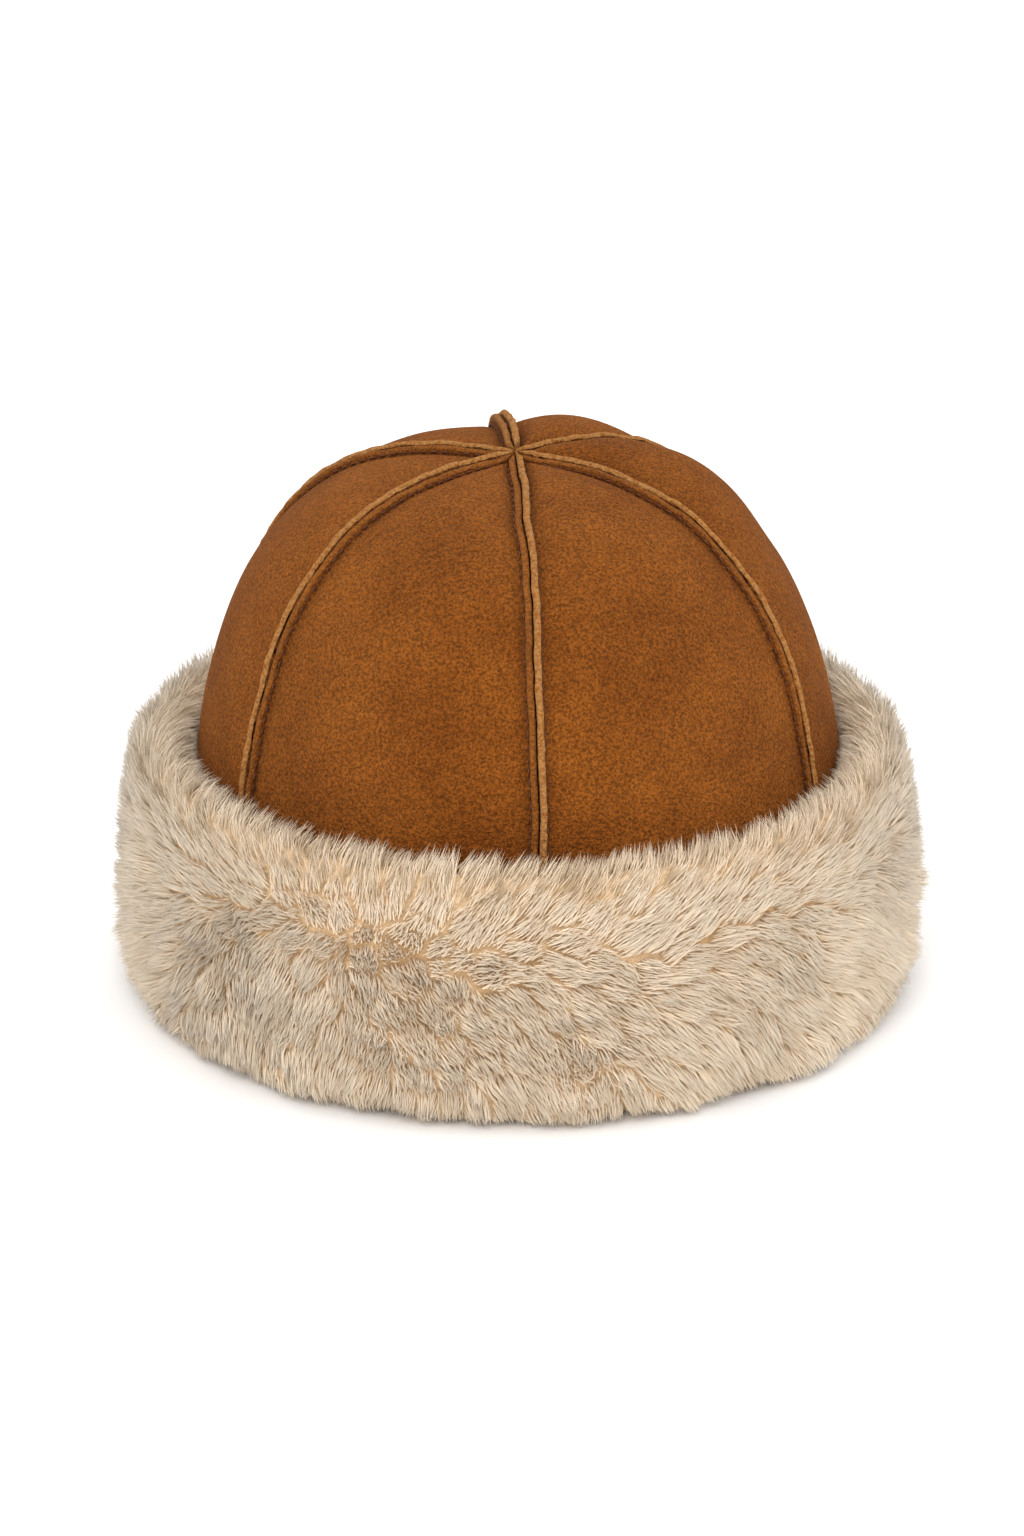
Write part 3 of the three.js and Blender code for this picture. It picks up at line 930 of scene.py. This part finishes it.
class Strands:
    """The strands of the pile, each with a root, a widest point and a tip. Arrays hold a value a strand."""

    STEPS = np.array([0.0, 0.4, 1.0])  # where the three points lie on a strand
    SHADE_STEP = 0.9  # the slope of the dense wool is taken over this distance
    SHADE_SHARE = 0.5  # how far that slope turns the shading

    def __init__(self, scene, outline, rng):
        crown, pile = scene.hat_crown, scene.hat_pile
        self.scene, self.outline, self.crown, self.pile = scene, outline, crown, pile
        length, spacing, clump = in_mm(pile, "length", "spacing", "clump")
        self.angle, self.along = strand_roots(outline, spacing, rng)
        self.own = rng.normal(0, 1, (4, len(self.angle)))
        self.bound = rng.random(len(self.angle)) ** 0.8
        self.lock_angle, self.lock_along, lock = locks_of(outline, self.angle, self.along, clump)
        self.lock_tone = lock_value(lock, LOCK_TONE_SEED) - 0.5
        share = self.along / outline.length
        self.at_rim = smoothstep(share, 0.7, 0.82)
        lean = np.stack(lie_of_pile(scene, outline, self.lock_angle, self.lock_along))
        loose = lerp(0.07, 0.13, self.at_rim) + 0.08 * np.exp(-(lean**2).sum(axis=0) / 0.06)
        stray = 0.22 * (np.stack([lock_value(lock, seed) for seed in LOCK_STRAY_SEEDS]) - 0.5)
        self.lean = lean + stray + loose * self.own[:2]
        uneven = lerp(0.1, 0.18, self.at_rim) * self.own[2].clip(-1.5, 1.5)
        near_floor, near_crown = 1 - smoothstep(share, 0.1, 0.3), smoothstep(share, 0.74, 0.95)
        shorter = (1 - 0.38 * near_floor) * (1 - 0.08 * near_crown)
        self.tall = length * (0.86 + uneven + 0.08 * self.lock_tone) * shorter
        self.foot = self.on_relief(self.angle, self.along)
        self.lock_foot = self.on_relief(self.lock_angle, self.lock_along)
        self.lump, self.hollow_shade = fleece_relief(scene, outline, self.angle, self.along)

    def on_relief(self, angle, along):
        """Radius, height and outward direction of places on the dense wool."""
        radius, height, out_r, out_z = self.outline.stations(along)
        lump = fleece_relief(self.scene, self.outline, angle, along)[0]
        return radius + out_r * lump, height + out_z * lump, out_r, out_z

    def point(self, t):
        """Points at a share of the way up the strands, which bend over and draw together in their lock."""
        sink, wave = in_mm(self.pile, "sink", "wave")
        over = np.sqrt(1 + (self.lean**2).sum(axis=0)) - 1
        bend = t**1.6
        rise = self.tall * t * (1 - 0.28 * bend * over) / (1 + 0.45 * over)
        aside, ahead = self.tall * bend * self.lean / (1 + 0.25 * over)
        gather = (self.pile.gather + 0.12 * self.at_rim) * self.bound * t**1.3
        own, lock = (
            (radius + out_r * up - out_z * ahead, height + out_z * up + out_r * ahead)
            for (radius, height, out_r, out_z), up in ((self.foot, rise - sink), (self.lock_foot, rise))
        )
        azimuth = lerp(self.angle, self.lock_angle, gather) + aside / self.outline.outer
        height = lerp(own[1], lock[1], gather) + wave * t * np.cos(self.own[2] * 4 + 5 * t)
        height = floor_limit(height)
        radius = lerp(own[0], lock[0], gather) + wave * t * np.sin(self.own[3] * 3 + 5 * t)
        radius = np.maximum(radius, crown_reach(self.scene, azimuth, height))
        return hat_points(self.crown, azimuth, radius, height)

    def tones(self):
        """How light each strand is: a tone of its own and of its lock, with painted shade in the hollows and
        in gaps here and there at the rim.
        """
        roots = hat_points(self.crown, self.angle, *self.foot[:2])
        # Painted shade between the tufts at the rim
        rim_shade_gaps = smoothstep(smooth_noise(roots / 1.7, RIM_SHADE_SEED), 0.05, 0.45)
        tone = 0.62 + 0.05 * self.own[3] + 0.11 * self.lock_tone - 0.34 * (self.hollow_shade - 0.5)
        return np.clip(tone - self.at_rim * (0.22 + 0.75 * rim_shade_gaps), lerp(0.24, 0.03, self.at_rim), 0.97)

    def facing(self):
        """The direction in which the dense wool under each strand faces, for soft shading."""
        step, size = self.SHADE_STEP, self.outline.outer
        aside = fleece_relief(self.scene, self.outline, self.angle + step / size, self.along)[0]
        ahead = fleece_relief(self.scene, self.outline, self.angle, self.along + step)[0]
        turn, tilt = (self.SHADE_SHARE * (further - self.lump) / step for further in (aside, ahead))
        r, z, out_r, out_z = self.foot
        further_r, further_z = r + out_r + tilt * out_z, z + out_z - tilt * out_r
        outward = hat_points(self.crown, self.angle - turn / size, further_r, further_z)
        return unit(outward - hat_points(self.crown, self.angle, r, z))

    def widths(self):
        finer = 1 - 0.38 * self.at_rim
        return in_mm(self.pile, "width") * finer * (1 + 0.15 * self.own[2].clip(-2, 2))


def unit(vectors):
    return vectors / (np.linalg.norm(vectors, axis=-1, keepdims=True) + 1e-9)


STRAND_FACES = np.array([(0, 2, 1), (0, 3, 2), (0, 1, 3), (1, 2, 4), (2, 3, 4), (3, 1, 4)])
STRAND_POINTS = 5  # the root, a ring of three and the tip
STRAND_TURN = 2.39996  # from one strand to the next, so that no two neighbours face alike


def strand_mesh(name, axes, tone, width, outward, softness):
    """Closed three-sided strands that are widest above the root and taper to a point."""
    count = len(axes)
    tangent = unit(axes[:, 2] - axes[:, 0])
    side = unit(np.cross(tangent, [0.0, 0.0, 1.0]))
    other = np.cross(tangent, side)
    turn = ((np.arange(count) * STRAND_TURN)[:, None] + np.array([0, 2, 4]) * math.pi / 3)[..., None]
    around = np.cos(turn) * side[:, None] + np.sin(turn) * other[:, None]
    ring = axes[:, 1:2] + around * width[:, None, None] / 2
    points = np.concatenate([axes[:, :1], ring, axes[:, 2:]], axis=1)
    faces = (STRAND_FACES + (np.arange(count) * STRAND_POINTS)[:, None, None]).reshape(-1, 3)
    made = make_object(name, points.reshape(-1, 3), faces)
    own = np.concatenate([-tangent[:, None], around, tangent[:, None]], axis=1)
    blend = unit(lerp(own, outward[:, None, :], softness)).reshape(-1, 3)
    made.data.normals_split_custom_set_from_vertices(blend.tolist())
    spread = 0.006  # keeps the corners of a face apart in the map
    uv_points = np.empty((count, STRAND_POINTS, 2))
    uv_points[..., 0] = tone[:, None] + np.array([0, -spread, 0, spread, 0])
    uv_points[..., 1] = 0.01 + 0.98 * Strands.STEPS[[0, 1, 1, 1, 2]]
    layer = made.data.uv_layers.new(name=BAKE_UV)
    layer.data.foreach_set("uv", uv_points.reshape(-1, 2)[faces.ravel()].astype(np.float32).ravel())
    return made


class HAT_OT_pile(bpy.types.Operator):
    """Grow the strands of the deep fleece, one piece for each quarter of the cuff"""

    bl_idname = "hat.pile"
    bl_label = "Fleece pile"

    def execute(self, context):
        scene = context.scene
        strands = Strands(scene, PileOutline(scene), np.random.default_rng(STRAND_SEED))
        axes = np.stack([strands.point(t) for t in strands.STEPS], axis=1)
        looks = (axes, strands.tones(), strands.widths(), strands.facing())
        material = pile_material(scene.hat_colours)
        quarter = np.floor(strands.angle / (TURN / 4))
        for number, name in enumerate(PILE_QUARTERS):
            here = quarter == number
            made = strand_mesh(name, *(values[here] for values in looks), scene.hat_pile.softness)
            made.data.materials.append(material)
            dress(made, "fleece_cuff")
        return {"FINISHED"}


# Places in metres, and the property that holds the power
LIGHTS = [
    ("key", (-0.35, -1.45, 1.45), "key"),
    ("fill_right", (1.3, -0.7, 0.9), "fill"),
    ("fill_back", (0.2, 1.4, 1.2), "fill"),
]
LIGHT_SIZE = 1.2
LIGHT_AIM = Vector((0, 0, 0.07))
FLOOR_REACH = 40000.0  # from the hat to the floor's sides, in millimetres
CAMERA_REACH = 200  # in metres


def area_light(name, location, power):
    data = bpy.data.lights.new(name, "AREA")
    data.shape = "DISK"
    data.size = LIGHT_SIZE
    data.energy = power
    light = bpy.data.objects.new(name, data)
    bpy.context.scene.collection.objects.link(light)
    light.location = location
    light.rotation_euler = (LIGHT_AIM - Vector(location)).to_track_quat("-Z", "Y").to_euler()


def stage_camera(stage):
    """A camera that looks at its aim from the stage's azimuth, elevation and distance."""
    camera = bpy.data.objects.new("camera", bpy.data.cameras.new("camera"))
    bpy.context.scene.collection.objects.link(camera)
    azimuth, elevation = stage.azimuth, stage.elevation
    right = Vector((math.cos(azimuth), math.sin(azimuth), 0))
    level = Vector((math.sin(azimuth), -math.cos(azimuth), 0))
    back = level * math.cos(elevation) + Vector((0, 0, math.sin(elevation)))
    camera.location = Vector((0, 0, stage.aim_up)) + back * stage.distance - right * stage.aim_left
    camera.rotation_euler = (TURN / 4 - elevation, 0, azimuth)
    camera.data.lens = stage.lens
    camera.data.clip_end = CAMERA_REACH
    return camera


class HAT_OT_stage(bpy.types.Operator):
    """Set up the pale floor, the soft studio light and the camera"""

    bl_idname = "hat.stage"
    bl_label = "Stage"

    def execute(self, context):
        scene = context.scene
        stage = scene.hat_stage
        corners = np.array([[-1, -1, 0], [1, -1, 0], [1, 1, 0], [-1, 1, 0]]) * FLOOR_REACH
        floor = make_object("floor", corners, np.array([[0, 1, 2, 3]]), smooth=False)
        floor.data.materials.append(floor_material())
        floor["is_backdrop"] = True
        scene.world = bpy.data.worlds.new("sky")
        scene.world.use_nodes = True
        background = scene.world.node_tree.nodes["Background"]
        background.inputs["Color"].default_value = (1, 1, 1, 1)
        background.inputs["Strength"].default_value = stage.sky
        for name, location, power in LIGHTS:
            area_light(name, location, getattr(stage, power))
        scene.camera = stage_camera(stage)
        scene.view_settings.view_transform = "Standard"
        return {"FINISHED"}


class HAT_PT_panel(bpy.types.Panel):
    """Lists the hat's pieces and its sizes"""

    bl_label = "Shearling hat"
    bl_idname = "HAT_PT_panel"
    bl_space_type = "VIEW_3D"
    bl_region_type = "UI"
    bl_category = "Hat"

    def draw(self, context):
        layout = self.layout
        for operator in OPERATORS:
            layout.operator(operator.bl_idname)
        for name, group in GROUPS.items():
            box = layout.box()
            box.label(text=group.__name__)
            for prop in group.__annotations__:
                box.prop(getattr(context.scene, name), prop)


OPERATORS = [HAT_OT_gores, HAT_OT_stitches, HAT_OT_backing, HAT_OT_pile, HAT_OT_stage]
CLASSES = [*GROUPS.values(), *OPERATORS, HAT_PT_panel]


def register():
    for item in CLASSES:
        bpy.utils.register_class(item)
    for name, group in GROUPS.items():
        setattr(bpy.types.Scene, name, PointerProperty(type=group))


def unregister():
    for name in GROUPS:
        delattr(bpy.types.Scene, name)
    for item in reversed(CLASSES):
        bpy.utils.unregister_class(item)


def main():
    register()
    bpy.ops.hat.gores()
    bpy.ops.hat.stitches()
    bpy.ops.hat.backing()
    bpy.ops.hat.pile()
    bpy.ops.hat.stage()
    boxes = {"cad": cad_box, "visual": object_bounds()}
    {name: [list(corner) for corner in box] for name, box in boxes.items()}


if __name__ == "__main__":
    main()
